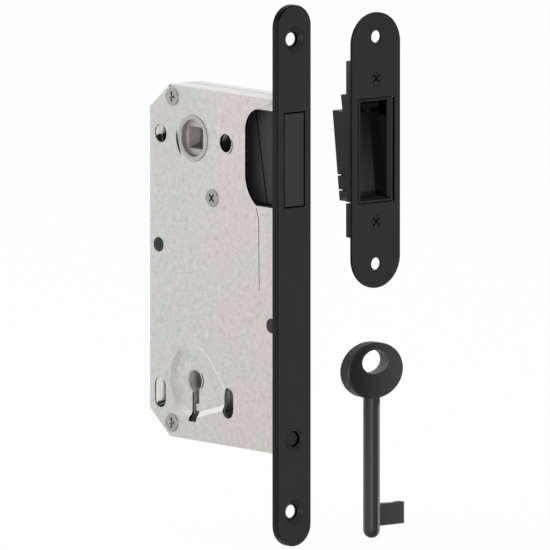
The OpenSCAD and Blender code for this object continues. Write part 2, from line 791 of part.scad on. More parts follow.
module key_slide() {
    color("#b4b6b8") difference() {
        union() {
            block([slide_x[0], tail_y[0], slide_lo], [slide_x[1], tail_y[1], slide_band]);
            block([cam_x - slide_throw - cam_land, tail_y[0], slide_band - 1],
                  [cam_x + cam_land, tail_y[1], cam_z + bar_rise + cam_land - 1]);
            for (s = [-1, 1])
                block([notch_x + s * (talon_gap + talon_w) / 2 - talon_w / 2, tail_y[0], talon_z],
                      [notch_x + s * (talon_gap + talon_w) / 2 + talon_w / 2, tail_y[1], slide_lo + 1]);
        }
        plate_y(tail_y[0] - cut, tail_y[1] + cut) {
            slot2d([cam_x, cam_z], [cam_x - slide_throw, cam_z + bar_rise], slide_stud_d + 2 * run);
            for (c = slide_stud) slot2d(c, c - [slide_throw, 0], slide_stud_d + 2 * run);
        }
    }
}

module lock_bar() {
    tongue = [tongue_x - tongue_w / 2, tongue_x + tongue_w / 2];
    shoulder = bar_top - 3;
    color("#a7a9ab") difference() {
        union() {
            block([bar_x[0], bar_y[0], bar_lo], [bar_x[1], bar_y[1], shoulder]);
            block([tongue[0], bar_y[0], shoulder - 1], [tongue[1], bar_y[1], bar_top]);
            block([tongue[0], tail_y[0], shoulder - 0.5], [tongue[1], bar_y[1], bar_top]);
            rod_y([cam_x, cam_z], slide_stud_d, tail_y[0], bar_y[0] + 0.5);
        }
        for (z = bar_stud_z) plate_y(bar_y[0] - cut, bar_y[1] + cut)
            slot2d([bar_c, z - bar_rise], [bar_c, z], slide_stud_d + 2 * run);
    }
}

module tumbler_lever() {
    color("#b89b5e") difference() {
        plate_y(pull_y[0], pull_y[1]) {
            slot2d(lever_c, [lever_end, lever_c[1]], lever_w);
            translate([keyc[0], lever_c[1]]) circle(r = belly_r);
        }
        rod_y(lever_c, slide_stud_d + 2 * run, -case_t, case_t);
        plate_y(pull_y[0] - cut, pull_y[1] + cut) leaf2d(leaf_t + 2 * fit);
    }
}

// Outline of the lever's leaf spring, from its foot in the lever to the rear stud
module leaf2d(t) {
    foot = lever_c + [0.6, lever_w / 2 - 0.5];
    tip = stud_c[0] + [(stud_d + leaf_t) / 2 + play, 0.6];
    bend = [(foot[0] + tip[0]) / 2 + 1.6, (foot[1] + tip[1]) / 2];
    slot2d(foot, bend, t);
    slot2d(bend, tip, t);
}

module lever_spring() {
    color("#777777") plate_y(pull_y[0] + fit, pull_y[1] - fit) leaf2d(leaf_t);
}

module strike_plate() {
    color("#333333") difference() {
        round_end_plate(strike_y, strike_z, strike_w, strike_h, -strike_t, 0, 0.2);
        plate_x(-strike_t - cut, cut)
            round2d([strike_y - strike_win_w / 2, strike_z - strike_win_h / 2],
                    [strike_y + strike_win_w / 2, strike_z + strike_win_h / 2], 0.4);
        for (s = [-1, 1])
            rod_x([strike_y, strike_z + s * strike_screw_gap / 2], strike_hole_d, -strike_t - cut, cut);
        for (z = tray_screw_c) rod_x([strike_y, z], tray_head_d + 0.1, -strike_t - cut, cut);
    }
}

module strike_tray() {
    half = strike_win_w / 2 - tray_gap;
    pocket = strike_win_w / 2 - tray_wall;
    low_z = tray_low + body_gap;
    pocket_top = strike_z + strike_win_h / 2 - tray_gap - collar_t;
    pocket_step = step_back + 2.1;
    color("#2b2b2b") difference() {
        union() {
            block([-strike_t - cut, strike_y - half, strike_z - strike_win_h / 2 + tray_gap],
                  [-fit, strike_y + half, strike_z + strike_win_h / 2 - tray_gap]);
            tray_slab(strike_win_w) polygon([
                [tray_x, tray_top + ear_h], [ear_back, tray_top + ear_h], [ear_back, tray_top],
                [step_back, tray_top], [ear_back, strike_z + 1], [ear_back, low_z], [body_gap_x, low_z],
                [body_gap_x, tray_low], [ear_back, tray_low], [ear_back, tray_low - ear_h],
                [tray_x, tray_low - ear_h]
            ]);
            tray_slab(strike_win_w - 2 * deep_step) polygon([
                [tray_x, step_z], [-tray_reach, step_z], [-deep_low_x, low_z], [tray_x, low_z]
            ]);
        }
        tray_slab(2 * pocket) polygon([
            [cut, pocket_top], [pocket_step, pocket_top], [pocket_step, step_z - 0.8],
            [back_wall - tray_reach, step_z - 0.8], [back_wall - deep_low_x, low_z + 1], [cut, low_z + 1]
        ]);
        block([-collar_depth, strike_y - pocket, strike_z - strike_win_h / 2 + tray_gap + collar_t],
              [cut, strike_y + pocket, pocket_top]);
        for (z = tray_slits) tray_slit(z);
        magnet_seat(strike_magnet_t + fit, fit);
        for (z = tray_screw_c) rod_x([strike_y, z], 2, -cut - 8, cut);
        for (y = [-1, 1], z = [tray_top + ear_h, tray_low - ear_h]) corner_cut(y, z);
    }
}

// X of the tray's sloping back at a height
function tray_back(z) = -deep_low_x - (tray_reach - deep_low_x)
    * (z - tray_low - body_gap) / (step_z - tray_low - body_gap);

// A slit at a height: right through the back wall but for a skin, and shallow along both sides
module tray_slit(z) {
    outer = strike_win_w / 2 - deep_step;
    block([-tray_reach - cut, strike_y - strike_w, z - slit_h / 2],
          [tray_back(z) + back_wall - slit_skin, strike_y + strike_w, z + slit_h / 2]);
    for (s = [-1, 1])
        block([-tray_reach - cut, strike_y + s * outer - slit_side[0], z - slit_h / 2],
              [tray_back(z) + slit_side[1], strike_y + s * outer + slit_side[0], z + slit_h / 2]);
}

// A slab of the tray that stands in X and Z, w wide across the strike
module tray_slab(w) {
    plate_y(strike_y - w / 2, strike_y + w / 2) children();
}

// Rounds an outer corner of a tray ear: y is the side, z the ear's end
module corner_cut(y, z) {
    r = ear_r;
    up = z > strike_z ? 1 : -1;
    c = [strike_y + y * (strike_win_w / 2 - r), z - up * r];
    difference() {
        block([ear_back - cut, min(c[0], c[0] + y * (r + cut)), min(c[1], c[1] + up * (r + cut))],
              [tray_x + 0.01, max(c[0], c[0] + y * (r + cut)), max(c[1], c[1] + up * (r + cut))]);
        rod_x(c, 2 * r, ear_back - 2 * cut, cut);
    }
}

// Seat of the strike's magnet in the sloping back of the tray: depth and side gap
module magnet_seat(depth, side) {
    tilt = atan2(tray_reach - deep_low_x, step_z - tray_low - body_gap);
    above = 4;
    mid_z = (step_z + tray_low + body_gap) / 2 + above;
    mid_x = -(tray_reach + deep_low_x) / 2 - above * tan(tilt);
    translate([mid_x, strike_y, mid_z]) rotate([0, -tilt, 0])
        translate([-side, -4 - side, -8 - side]) cube([depth + side, 8 + 2 * side, 16 + 2 * side]);
}

module strike_magnet() {
    color("#9a9ca0") magnet_seat(strike_magnet_t, 0);
}

module strike_screws() {
    color("#2e2e2e") for (z = tray_screw_c) difference() {
        union() {
            rod_x([strike_y, z], tray_head_d, -strike_t, -0.05);
            rod_x([strike_y, z], 1.9, -7, -strike_t);
        }
        translate([0, strike_y, z]) rotate([45, 0, 0]) for (a = [0, 90]) rotate([a, 0, 0])
            block([-0.75, -tray_cross / 2, -0.3], [cut, tray_cross / 2, 0.3]);
    }
}

// Outline of an oval, as a polygon of 72 points
module oval2d(w, h) {
    polygon([for (a = [0 : 5 : 355]) [w / 2 * cos(a), h / 2 * sin(a)]]);
}

module key() {
    bow_front = key_axis[0] + bow_t / 2;
    bow_back = key_axis[0] - bow_t / 2;
    bit_side = key_axis[0] - bit_t / 2;
    color("#3a3a3a") {
        difference() {
            union() {
                translate([0, key_axis[1], bow_z]) {
                    plate_x(bow_back + bow_bevel, bow_front - bow_bevel) oval2d(bow_w, bow_h);
                    for (s = [-1, 1]) translate([key_axis[0] + s * (bow_t / 2 - bow_bevel), 0, 0])
                        rotate([90, 0, s * 90]) linear_extrude(bow_bevel, scale = 1 - 2 * bow_bevel / bow_h)
                            oval2d(bow_w, bow_h);
                }
                translate([key_axis[0], key_axis[1], key_tip + shank_d / 2])
                    cylinder(d = shank_d, h = bow_z - bow_h / 2 + 1.5 - key_tip - shank_d / 2);
                translate([key_axis[0], key_axis[1], key_tip + shank_d / 2]) sphere(d = shank_d);
                block([bit_side, key_axis[1], bit_z], [bit_side + bit_t, key_axis[1] + bit_reach, bit_top]);
            }
            translate([0, bow_hole_y, bow_hole_z]) plate_x(bow_back - cut, bow_front + cut)
                oval2d(bow_hole[0], bow_hole[1]);
            block([bit_side - cut, key_axis[1] + bit_groove[0], bit_z - cut],
                  [bit_side + bit_groove_t, key_axis[1] + bit_groove[1], bit_top + cut]);
        }
    }
}

forend();
case_tray();
case_cover();
screw_pillars();
case_screws();
locating_studs();
forend_block();
forend_screw();
latch_guide();
retractor_studs();
slide_studs();
bar_studs();
lever_pivot();
latch_head();
latch_carrier();
latch_magnet();
latch_tail();
latch_rivets();
latch_spring();
follower();
follower_pin();
retractor();
follower_spring();
key_slide();
lock_bar();
tumbler_lever();
lever_spring();
strike_plate();
strike_tray();
strike_magnet();
strike_screws();
key();
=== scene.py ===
import json
import math
from functools import reduce

import bmesh
import bpy
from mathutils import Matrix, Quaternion, Vector

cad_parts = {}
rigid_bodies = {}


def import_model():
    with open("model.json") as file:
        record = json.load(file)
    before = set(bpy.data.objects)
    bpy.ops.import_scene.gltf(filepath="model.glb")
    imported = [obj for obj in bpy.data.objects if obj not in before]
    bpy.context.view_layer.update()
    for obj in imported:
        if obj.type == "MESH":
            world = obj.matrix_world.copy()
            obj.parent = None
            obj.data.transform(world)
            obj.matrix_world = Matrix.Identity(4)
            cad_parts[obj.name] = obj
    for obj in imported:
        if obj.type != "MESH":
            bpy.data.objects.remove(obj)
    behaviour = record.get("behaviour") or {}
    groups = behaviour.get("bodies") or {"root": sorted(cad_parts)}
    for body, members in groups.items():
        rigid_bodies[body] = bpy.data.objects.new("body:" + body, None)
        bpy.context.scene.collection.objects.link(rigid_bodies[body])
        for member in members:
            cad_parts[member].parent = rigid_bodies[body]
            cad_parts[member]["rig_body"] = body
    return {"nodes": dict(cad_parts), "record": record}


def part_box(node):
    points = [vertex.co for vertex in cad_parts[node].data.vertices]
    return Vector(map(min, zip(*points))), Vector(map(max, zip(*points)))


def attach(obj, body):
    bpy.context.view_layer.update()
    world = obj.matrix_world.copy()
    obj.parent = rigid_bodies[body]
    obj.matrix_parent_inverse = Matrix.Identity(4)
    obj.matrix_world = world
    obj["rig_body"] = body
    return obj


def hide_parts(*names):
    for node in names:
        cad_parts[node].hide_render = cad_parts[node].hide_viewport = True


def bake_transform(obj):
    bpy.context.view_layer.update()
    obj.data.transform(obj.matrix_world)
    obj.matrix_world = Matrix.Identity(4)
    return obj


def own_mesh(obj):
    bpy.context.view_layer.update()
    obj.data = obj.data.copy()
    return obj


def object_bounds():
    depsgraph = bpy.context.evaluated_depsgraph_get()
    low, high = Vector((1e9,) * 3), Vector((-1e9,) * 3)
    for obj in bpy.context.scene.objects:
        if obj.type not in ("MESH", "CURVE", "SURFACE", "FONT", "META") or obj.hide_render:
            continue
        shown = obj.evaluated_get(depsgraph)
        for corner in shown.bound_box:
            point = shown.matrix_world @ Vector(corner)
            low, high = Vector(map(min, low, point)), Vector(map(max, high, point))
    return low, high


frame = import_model()
nodes = frame["nodes"]
cad_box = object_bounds()
mm = 0.001

# Camera. The set is seen from its front right, 51 degrees round from the flat of the case and a
# little from above. A long lens from 9 m keeps the long edges nearly parallel.
azimuth, elevation = math.radians(51), math.radians(7.6)
frame_width, stand_off, film_width = 201.3 * mm, 9.0, 36
left_by, up_by = 0.915 * mm, 1.1 * mm
near_edge = Vector((0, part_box("forend")[0].y, 0))
across = Vector((math.cos(azimuth), math.sin(azimuth), 0))
level = Vector((math.sin(azimuth), -math.cos(azimuth), 0))
towards = level * math.cos(elevation) + Vector((0, 0, math.sin(elevation)))
upward = towards.cross(across)
aim = near_edge - across * left_by + upward * up_by
camera = bpy.data.objects.new("camera", bpy.data.cameras.new("camera"))
camera.data.sensor_width = film_width
camera.data.lens = film_width * stand_off / frame_width
camera.data.clip_start, camera.data.clip_end = 0.5, 60
camera.location = aim + towards * stand_off
camera.rotation_mode = "QUATERNION"
camera.rotation_quaternion = towards.to_track_quat("Z", "Y")
bpy.context.scene.collection.objects.link(camera)
bpy.context.scene.camera = camera
bpy.context.scene.view_settings.view_transform = "Standard"


# Light. The set stands in a light tent that is white to the eye and softer as light. A broad lamp
# hangs over it, one stands on the left, and a small low one beside the camera reaches into its holes.
def lamp(name, direction, distance, size, strength):
    """A square lamp in a direction; strength 1 lights a facing surface as fully as a white tent."""
    shade = bpy.data.lights.new(name, "AREA")
    shade.size, shade.energy = size, strength * (math.pi * distance) ** 2
    stand = bpy.data.objects.new(name, shade)
    stand.rotation_mode = "QUATERNION"
    stand.location = aim + direction.normalized() * distance
    stand.rotation_quaternion = direction.to_track_quat("Z", "Y")
    bpy.context.scene.collection.objects.link(stand)


lamp("over", Vector((-0.3, -0.25, 1)), distance=1.2, size=1.1, strength=0.5)
lamp("left", Vector((-1, -0.3, -0.12)), distance=1.2, size=0.7, strength=0.35)
lamp("low", level + across * 0.06 - Vector((0, 0, 0.16)), distance=1.2, size=0.12, strength=0.75)


# Tent and floor: white where the camera or a shiny surface looks at them, with the object's faint
# shadow on the floor, and half as strong where the tent lights the object.
class Value:
    """A shader's number or socket, which Python's own operators turn into Math nodes."""

    def __init__(self, tree, socket):
        self.tree, self.socket = tree, socket

    def math(self, operation, *others):
        node = self.tree.nodes.new("ShaderNodeMath")
        node.operation = operation
        for slot, value in zip(node.inputs, (self, *others)):
            if isinstance(value, Value):
                self.tree.links.new(value.socket, slot)
            else:
                slot.default_value = value
        return Value(self.tree, node.outputs[0])

    def __add__(self, other):
        return self.math("ADD", other)

    def __sub__(self, other):
        return self.math("SUBTRACT", other)

    def __mul__(self, other):
        return self.math("MULTIPLY", other)

    def __truediv__(self, other):
        return self.math("DIVIDE", other)

    def __neg__(self):
        return self * -1

    def __rsub__(self, other):
        return -self + other

    def __abs__(self):
        return self.math("ABSOLUTE")

    __radd__, __rmul__ = __add__, __mul__

    def least(self, other):
        return self.math("MINIMUM", other)

    def most(self, other):
        return self.math("MAXIMUM", other)

    def hypot(self, other):
        """The distance that lies this far along one axis and another value along a second one."""
        return (self.math("POWER", 2) + other.math("POWER", 2)).math("SQRT")

    def step(self, low, high):
        """0 up to low and 1 from high, smooth between; low may be above high."""
        node = self.tree.nodes.new("ShaderNodeMapRange")
        node.interpolation_type = "SMOOTHSTEP"
        self.tree.links.new(self.socket, node.inputs["Value"])
        node.inputs["From Min"].default_value = min(low, high)
        node.inputs["From Max"].default_value = max(low, high)
        rise = Value(self.tree, node.outputs[0])
        return rise if low < high else 1 - rise


def add_node(tree, kind, settings=(), inputs=()):
    """Any node: its settings are made first, then its sockets are filled or linked."""
    made = tree.nodes.new(kind)
    for key, value in dict(settings).items():
        setattr(made, key, value)
    for key, given in dict(inputs).items():
        for value in given if isinstance(given, list) else (given,):
            value = value.socket if isinstance(value, Value) else value
            if isinstance(value, bpy.types.NodeSocket):
                tree.links.new(value, made.inputs[key])
            else:
                made.inputs[key].default_value = value
    return made


class Finish:
    """A material under construction: its tree, its shader and its place in millimetres."""

    def __init__(self, name, **constants):
        self.material = bpy.data.materials.new(name)
        self.material.use_nodes = True
        self.tree = self.material.node_tree
        self.shader = next(n for n in self.tree.nodes if n.type == "BSDF_PRINCIPLED")
        self.place = self.node("ShaderNodeTexCoord").outputs["Object"]
        split = self.node("ShaderNodeSeparateXYZ", inputs={"Vector": self.place})
        self.x, self.y, self.z = (Value(self.tree, s) * 1000 for s in split.outputs)
        self.feed(**constants)

    def node(self, kind, settings=(), inputs=()):
        return add_node(self.tree, kind, settings, inputs)

    def feed(self, **sockets):
        """Sets or links the shader's own sockets."""
        for name, value in sockets.items():
            socket = self.shader.inputs[name.replace("_", " ")]
            value = value.socket if isinstance(value, Value) else value
            if isinstance(value, bpy.types.NodeSocket):
                self.tree.links.new(value, socket)
            else:
                socket.default_value = value

    def clouds(self, patch, stretch=(1, 1, 1), detail=3.0, roughness=0.55):
        """Noise from 0 to 1 with patches of a size in millimetres, stretched along an axis."""
        scale = tuple(1 / (patch * mm * s) for s in stretch)
        place = self.node("ShaderNodeMapping", inputs={"Vector": self.place, "Scale": scale})
        cloud = self.node("ShaderNodeTexNoise", inputs={
            "Vector": place.outputs[0], "Scale": 1, "Detail": detail, "Roughness": roughness})
        return Value(self.tree, cloud.outputs[0])

    def blend(self, factor, first, second):
        """A colour that goes from first to second."""
        mix = self.node("ShaderNodeMix", {"data_type": "RGBA"}, {0: factor, 6: first, 7: second})
        return mix.outputs[2]

    def normal(self, axis):
        """The surface's own direction along an axis, from -1 to 1."""
        normal = self.node("ShaderNodeTexCoord").outputs["Normal"]
        split = self.node("ShaderNodeSeparateXYZ", inputs={"Vector": normal})
        return Value(self.tree, split.outputs[axis])

    def facing(self, axis):
        """1 where the surface faces along an axis, either way, and 0 where it lies along it."""
        return abs(self.normal(axis))

    def off_axis(self, centre):
        """Distance in millimetres from an axis along y, given the x and z where it stands."""
        return (self.x - centre[0]).hypot(self.z - centre[1])

    def relief(self, height, depth):
        """Bump: a height of 0 to 1 stands depth millimetres high."""
        bump = self.node("ShaderNodeBump", inputs={
            "Height": height, "Strength": 1.0, "Distance": depth * mm})
        self.feed(Normal=bump.outputs[0])


def colour(red, green=None, blue=None):
    """Linear colour from levels of 0 to 255 as a picture has them; one level alone is a grey."""
    levels = (red, red if green is None else green, red if blue is None else blue)
    shares = [level / 255 for level in levels]
    return (*(s / 12.92 if s <= 0.04045 else ((s + 0.055) / 1.055) ** 2.4 for s in shares), 1)


tent_light = 0.5
tent = bpy.data.worlds.new("tent")
bpy.context.scene.world = tent
tent.use_nodes = True
sky = tent.node_tree.nodes["Background"]
rays = tent.node_tree.nodes.new("ShaderNodeLightPath").outputs
looking = ("Is Camera Ray", "Is Glossy Ray", "Is Transmission Ray")
looks = [Value(tent.node_tree, rays[ray]) for ray in looking]
strength = reduce(Value.most, looks) * (1 - tent_light) + tent_light
sky.inputs["Color"].default_value = (1, 1, 1, 1)
tent.node_tree.links.new(strength.socket, sky.inputs["Strength"])

floor_finish = Finish("floor_white", Base_Color=colour(236), Roughness=0.9)
floor_glow = 0.97
rays = floor_finish.node("ShaderNodeLightPath").outputs
looks = [Value(floor_finish.tree, rays[ray]) for ray in looking[:2]]
glow = floor_finish.node("ShaderNodeEmission", inputs={"Color": (1, 1, 1, 1), "Strength": 1.0})
output = next(n for n in floor_finish.tree.nodes if n.type == "OUTPUT_MATERIAL")
mixed = floor_finish.node("ShaderNodeMixShader", inputs={
    0: reduce(Value.most, looks) * floor_glow, 1: floor_finish.shader.outputs[0], 2: glow.outputs[0]})
floor_finish.tree.links.new(mixed.outputs[0], output.inputs["Surface"])
reach, clearance = 3.0, 0.2 * mm
lowest = cad_box[0].z - clearance
corners = ((-reach, -reach), (reach, -reach), (reach, reach), (-reach, reach))
floor_mesh = bpy.data.meshes.new("floor")
floor_mesh.from_pydata([(x, y, lowest) for x, y in corners], [], [(0, 1, 2, 3)])
floor_mesh.materials.append(floor_finish.material)
floor = bpy.data.objects.new("floor", floor_mesh)
floor.visible_shadow = False
bpy.context.scene.collection.objects.link(floor)


# Case: two pans stamped from 1.2 mm steel sheet, one with deep sides and one as its cover. The sheet
# is dull from rolling, with broad cool and warm clouds, fine grain and a dirty line at the seam.
def measured(node):
    """The lowest and the highest corner of a CAD solid, in millimetres."""
    return [[round(side / mm, 3) for side in corner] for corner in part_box(node)]


case_low, case_high = measured("case_tray")
case_back, case_half, case_seam, case_top = -case_low[0], -case_low[1], case_high[1], case_high[2]
chamfer_x, chamfer_z, case_ease = 11.9, 9.3, 0.2
rear_top, front_screw, rear_bottom = (-62.3, 60.8), (-38.9, 25.5), (-62.5, -60.2)
screw_places = (rear_top, front_screw, rear_bottom)
follower_low, follower_high = measured("follower")
collar_r = (follower_high[0] - follower_low[0]) / 2
spindle = (follower_low[0] + collar_r, follower_high[2] - collar_r)


def merged(node):
    """A CAD solid's shape to work on, with its loose triangles joined."""
    skin = bmesh.new()
    skin.from_mesh(nodes[node].data)
    bmesh.ops.remove_doubles(skin, verts=skin.verts, dist=0.001 * mm)
    return skin


def eased(node, width, thin=lambda middle: False, crease=30):
    """A copy of a CAD solid with its outer edges rounded over by a width in millimetres. Edges whose
    middle, in millimetres, is in a thin place stay as they are, and folds past crease stay crisp."""
    rounded_past = 30
    mesh = nodes[node].data.copy()
    skin = merged(node)
    bmesh.ops.dissolve_limit(skin, angle_limit=math.radians(0.4), verts=skin.verts, edges=skin.edges)
    bmesh.ops.connect_verts_concave(skin, faces=skin.faces)
    weight = skin.edges.layers.float.new("bevel_weight_edge")
    for face in skin.faces:
        face.smooth = True
    for edge in skin.edges:
        fold = math.degrees(edge.calc_face_angle()) if len(edge.link_faces) == 2 else 0
        middle = (edge.verts[0].co + edge.verts[1].co) / (2 * mm)
        if fold > rounded_past and edge.is_convex and not thin(middle):
            edge[weight] = 1
        elif fold > crease:
            edge.smooth = False
    skin.to_mesh(mesh)
    skin.free()
    piece = bpy.data.objects.new(node + "_eased", mesh)
    bpy.context.scene.collection.objects.link(piece)
    rounding = piece.modifiers.new("rounding", "BEVEL")
    rounding.width, rounding.segments, rounding.limit_method = width * mm, 2, "WEIGHT"
    rounding.use_clamp_overlap, rounding.loop_slide = False, False
    evening = piece.modifiers.new("evening", "WEIGHTED_NORMAL")
    evening.keep_sharp = True
    settled = piece.evaluated_get(bpy.context.evaluated_depsgraph_get())
    plain = bpy.data.meshes.new_from_object(settled)
    piece.modifiers.clear()
    piece.data = plain
    plain.name = piece.name
    return piece


def dress(node, finish, slot, width=0.0, **where):
    """Gives a CAD solid its finish, on a copy with rounded edges where a width is given."""
    piece = eased(node, width, **where) if width else nodes[node]
    piece.data.materials.clear()
    piece.data.materials.append(finish.material)
    if width:
        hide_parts(node)
        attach(piece, nodes[node]["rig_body"])


def under_outline(x, z, lesser=min):
    """About how far a place lies under the back, the top or bottom and the chamfer between them, in
    millimetres. The place is given as numbers, or as values with lesser to match; z has no sign."""
    rise = chamfer_x / chamfer_z
    under_chamfer = (x - z * rise + (case_top * rise + case_back - chamfer_x)) / math.sqrt(2)
    return lesser(lesser(case_top - z, x + case_back), under_chamfer)


def inner_rim(middle):
    """Whether an edge lies away from the rim of the case's flat sides, inside the case or at a hole."""
    rim_width = 0.5
    below_side = abs(middle.y) < case_half - case_ease
    return below_side or under_outline(middle.x, abs(middle.z)) > rim_width


case_steel = Finish("rolled_steel")
x, y, z = case_steel.x, case_steel.y, case_steel.z
clouds = case_steel.clouds(16, detail=3)
patches = case_steel.clouds(2.4, detail=4, roughness=0.62)
grain = case_steel.clouds(0.5, detail=2, roughness=0.7)
line_black = colour(10, 9, 9)
# Depth under the case's outline and under its nearer flat side
edge = under_outline(x, abs(z), Value.least)
side = case_half - abs(y)
near_pan, far_pan, rear = y.step(2, 0), y.step(3, 4), x.step(-62, -64)
across_sheet = case_steel.facing("Y").step(0.6, 0.3)
from_spindle = case_steel.off_axis(spindle)
inside = edge.least(side).step(1.1, 1.18)
inside = inside.most(rear * across_sheet * side.step(0.5, 0.65) * edge.step(0.6, 0.9) * near_pan)
# Painted shade: the cut edges of the near pan's holes are painted dark, further in round the keyhole
# and less far at the rear, except where a screw or the follower's collar fills the hole
slots_rear, slots_front, slots_top, slots_bottom = -66, -32.8, -37, -58
keyhole_area = (x.step(slots_rear - 1, slots_rear) * x.step(slots_front + 0.8, slots_front)
                * z.step(slots_top + 1, slots_top) * z.step(slots_bottom - 1, slots_bottom))
cut_depth = (side - keyhole_area * 1.15 + rear * 0.8).step(1.25, 1.15)
cut_edge = across_sheet * side.step(0.02, 0.1) * cut_depth * edge.step(0.5, 0.9) * near_pan
cut_edge = cut_edge * (1 - x.step(-60, -62) * z.step(45, 48) * 0.8) * from_spindle.step(10, 10.5)
for place in screw_places:
    cut_edge = cut_edge * case_steel.off_axis(place).step(3.4, 3.8)
warm = x.step(-64, -20) * 0.6 + clouds.step(0.36, 0.62) * 0.4
sheet = case_steel.blend(warm, colour(176, 177, 174), colour(184, 177, 175))
sheet = case_steel.blend(patches.step(0.48, 0.72) * 0.6, sheet, colour(158, 155, 152))
sheet = case_steel.blend(patches.step(0.46, 0.28) * 0.5, sheet, colour(198, 196, 194))
sheet = case_steel.blend(grain.step(0.45, 0.7) * 0.5, sheet, colour(148, 145, 142))
# Painted light and shade: the face is darker towards its upper rear, and the faces round the outline are
# painted lighter
sheet = case_steel.blend(z.step(10, 64) * x.step(-30, -70) * 0.35, sheet, colour(158, 156, 153))
sheet = case_steel.blend(across_sheet * edge.step(0.5, 0.2), sheet, colour(216, 215, 215))
# The dish round the keyhole slopes at 24 degrees: its sides are painted lighter, a painted highlight,
# except the rear one
level_face = case_steel.facing("Y")
slope = level_face.step(0.985, 0.95) * level_face.step(0.8, 0.87)
sideways, upwards = case_steel.normal("X"), case_steel.facing("Z")
slope_highlight = (upwards - sideways * 0.5).step(0.12, 0.38).most((-sideways).step(0.1, 0.3))
sheet = case_steel.blend(slope * slope_highlight, sheet, colour(199, 197, 195))
dirt = (abs(y - case_seam) - 0.2).step(0.15, -0.1) * (1 - inside)
sheet = case_steel.blend(dirt * 0.5, sheet, colour(70, 67, 64))
# Painted light and shade: the far pan's inner side is painted pale as if lit, in painted half shade
# except behind the rear slot, and darker at its lower front
lining = case_steel.blend(clouds, colour(238, 235, 232), colour(250, 248, 246))
half_shade = far_pan * z.step(-49, -48).most(x.step(-58, -57)) * 0.85
lining = case_steel.blend(half_shade, lining, colour(158, 152, 148))
deep_shade = far_pan * x.step(-50, -49) * z.step(-48, -54) * 0.8
lining = case_steel.blend(deep_shade, lining, colour(72, 67, 64))
# Painted shadow: in the rear hole and the rear slot the foot of the case's back is painted dark, with a
# line of light left on it, and so is the inside behind the front slot
hole_line_y, slot_line_y, slot_line_z, slot_line_rise = -2.35, -2.4, -54.8, 0.2
off_hole_line = abs(y - hole_line_y)
off_slot_line = abs(z - slot_line_z - (y - slot_line_y) * slot_line_rise)
hole_foot = z.step(45.9, 45.2) * z.step(38, 40) * off_hole_line.step(0.2, 0.4)
slot_foot = z.step(-53.5, -54) * off_slot_line.step(0.3, 0.45)
front_slot = x.step(-36, -35) * z.step(-42, -43) * y.step(0, -1)
unlit = (x.step(-68.5, -69.5) * hole_foot.most(slot_foot)).most(front_slot)
lining = case_steel.blend(unlit, lining, colour(10))
sheet = case_steel.blend(inside, sheet, lining)
# Painted light: parts of the keyhole's cut edges are painted paler
pale_edge = keyhole_area * x.step(-44, -45) * z.step(-48.4, -47.6).most(side.step(1.55, 1.7))
pale_edge = pale_edge.most(x.step(-34, -33.4) * z.step(-44, -45) * side.step(0.45, 0.6) * 0.5)
edge_colour = case_steel.blend(pale_edge, colour(16, 15, 14), colour(140, 133, 129))
sheet = case_steel.blend(cut_edge, sheet, edge_colour)
# Black lines: a painted shadow in the gap at the rear of the follower's collar, thin dark arcs at the
# front of the front hole and of the keyhole, and a dark dot at the rear top corner
leaning = x - spindle[0] + (z - spindle[1]) * 0.3
gap_shadow = from_spindle.step(10.2, 9.8) * leaning.step(-8.7, -9.6) * (1 - inside) * near_pan
sheet = case_steel.blend(gap_shadow, sheet, line_black)
dark_marks = gap_shadow
for arc_x, arc_z, arc_r, droop in ((-30.5, 46.2, 3.5, 0.3), (-49.1, -43.1, 3.85, 0)):
    ring = abs(case_steel.off_axis((arc_x, arc_z)) - arc_r).step(0.34, 0.2)
    front_part = (x - arc_x - (z - arc_z) * droop).step(arc_r - 1.5, arc_r - 0.8)
    dark_marks = dark_marks.most(ring * front_part * side.step(1.2, 1.1))
dot_place, dot_r = (-63.6, 65.2), 0.7
corner_dot = case_steel.off_axis(dot_place).step(dot_r + 0.3, dot_r) * side.step(0.8, 0.6)
dark_marks = dark_marks.most(corner_dot) * near_pan
sheet = case_steel.blend(dark_marks * (1 - gap_shadow), sheet, line_black)
dull = inside.most(cut_edge).most(dark_marks)
metal = ((1 - dull) * 0.86).most(cut_edge * (1 - pale_edge)).most(gap_shadow)
case_steel.feed(Base_Color=sheet, Metallic=metal, Roughness=0.4 + grain * 0.14 + dull * 0.15)
case_steel.relief(grain * 0.6 + patches * 0.4, 0.012)
for pan in ("case_tray", "case_cover"):
    dress(pan, case_steel, "case_steel", width=case_ease, thin=inner_rim, crease=15)

# Case fasteners: zinc-plated pillars between the pans, cross-head screws through them from the near
# side, two blackened locating studs that show there, and the block into which the forend is screwed.
bright_steel = Finish("bright_zinc", Metallic=0.6)
turning = bright_steel.clouds(0.5, detail=4)
bright_steel.feed(Base_Color=bright_steel.blend(turning, colour(168, 166, 163), colour(205, 203, 200)),
                  Roughness=0.3 + turning * 0.15)
bright_steel.relief(turning, 0.005)
dress("screw_pillars", bright_steel, "bright_steel")


